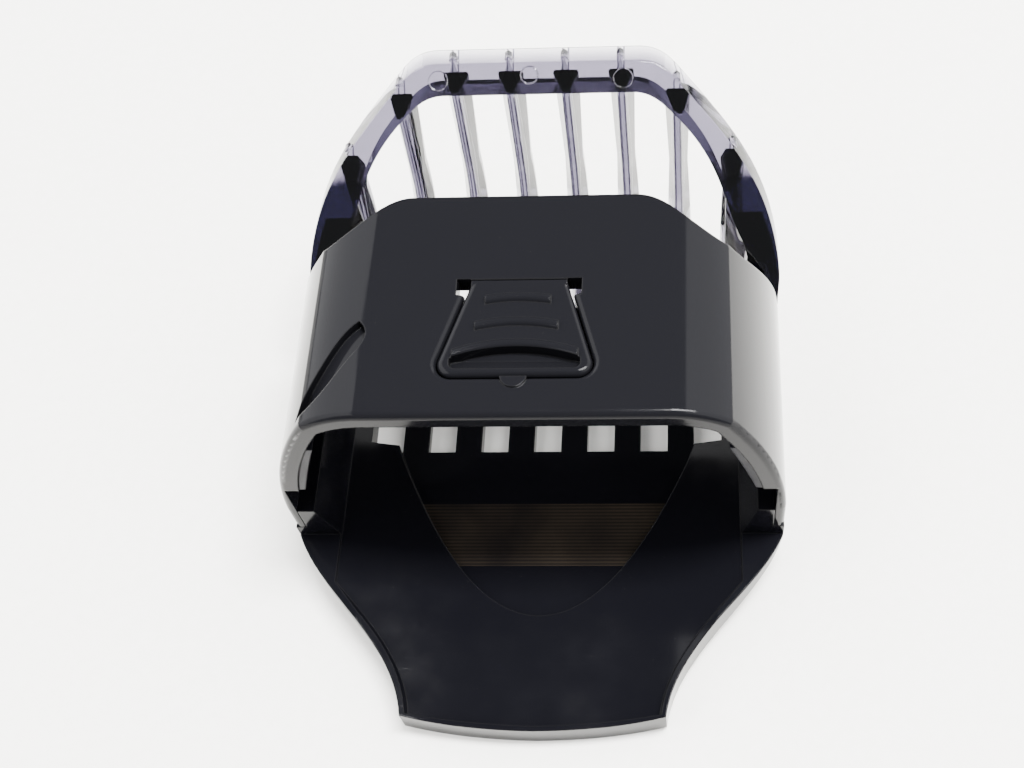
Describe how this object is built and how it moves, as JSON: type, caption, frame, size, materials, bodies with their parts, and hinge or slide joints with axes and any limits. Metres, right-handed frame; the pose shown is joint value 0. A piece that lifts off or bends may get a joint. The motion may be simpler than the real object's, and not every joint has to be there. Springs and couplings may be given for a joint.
{
  "type": "body groomer guide comb",
  "caption": "Slide-on guide comb for a body groomer: a glossy black sleeve with a press latch and a rear shield, carrying a smoky clear comb with a hoop.",
  "frame": {"origin": "centre of the bounding box, at the lowest line of the underside", "axes": "+X to the right seen from the sleeve's mouth, +Y from the tongue to the comb's teeth, +Z from the underside to the latch panel"},
  "size_m": [0.045, 0.0586, 0.0276],
  "materials": {
    "black_gloss": "polished mouldings with fine handling marks",
    "black_satin": "plain moulded inner face",
    "smoke_clear": "clear plastic with a smoky violet tint"
  },
  "bodies": {
    "attachment": {"front_cover": "black_gloss", "guide_rail_left": "black_satin", "guide_rail_right": "black_satin", "rear_shield": "black_gloss", "clear_comb": "smoke_clear"},
    "button": {"latch_button": "black_gloss"}
  },
  "joints": [
    {"name": "latch_press", "type": "hinge", "parent": "attachment", "child": "button", "pos_m": [0, 0.00132, 0.0267], "axis": [1, 0, 0], "range_deg": [0, 8], "stiffness_Nm_per_rad": 0.08}
  ]
}
